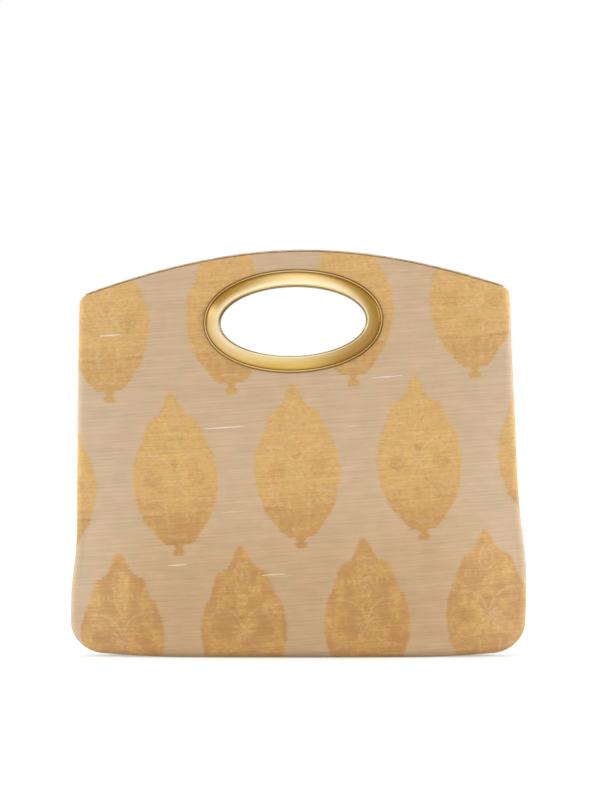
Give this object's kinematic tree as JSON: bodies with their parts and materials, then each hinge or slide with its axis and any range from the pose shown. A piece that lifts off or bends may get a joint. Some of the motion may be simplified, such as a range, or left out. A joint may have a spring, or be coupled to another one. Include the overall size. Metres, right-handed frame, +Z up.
{
  "type": "clutch bag",
  "caption": "Flat arched clutch of beige slub silk with woven gold leaves, an oval gold metal handle let into each side, open mouth and a magnetic snap.",
  "frame": {"origin": "on the floor under the middle of the bag", "axes": "+Z is up, the front faces -Y and +X is to the right as the front is seen; y = 0 is the plane between the front and back halves"},
  "size_m": [0.3166, 0.0384, 0.2817],
  "materials": {
    "silk": "slub silk with woven gold leaves, soft sheen",
    "edge_binding": "matt bound edge",
    "facing_satin": "satin",
    "lining_satin": "satin",
    "board": "matt",
    "gold_metal": "brushed gold band with a polished inner lip",
    "plated_steel": "plated"
  },
  "bodies": {
    "root": {"front_panel": "silk", "back_panel": "silk", "front_stiffener": "board", "back_stiffener": "board", "front_facing": "facing_satin", "back_facing": "facing_satin", "front_lining": "lining_satin", "back_lining": "lining_satin", "front_piping": "edge_binding", "back_piping": "edge_binding", "front_handle_frame": "gold_metal", "back_handle_frame": "gold_metal", "front_handle_plate": "plated_steel", "back_handle_plate": "plated_steel", "front_screw_1": "plated_steel", "front_screw_2": "plated_steel", "front_screw_3": "plated_steel", "front_screw_4": "plated_steel", "back_screw_1": "plated_steel", "back_screw_2": "plated_steel", "back_screw_3": "plated_steel", "back_screw_4": "plated_steel", "snap_socket": "plated_steel", "snap_stud": "plated_steel", "snap_socket_washer": "plated_steel", "snap_stud_washer": "plated_steel"}
  },
  "joints": []
}
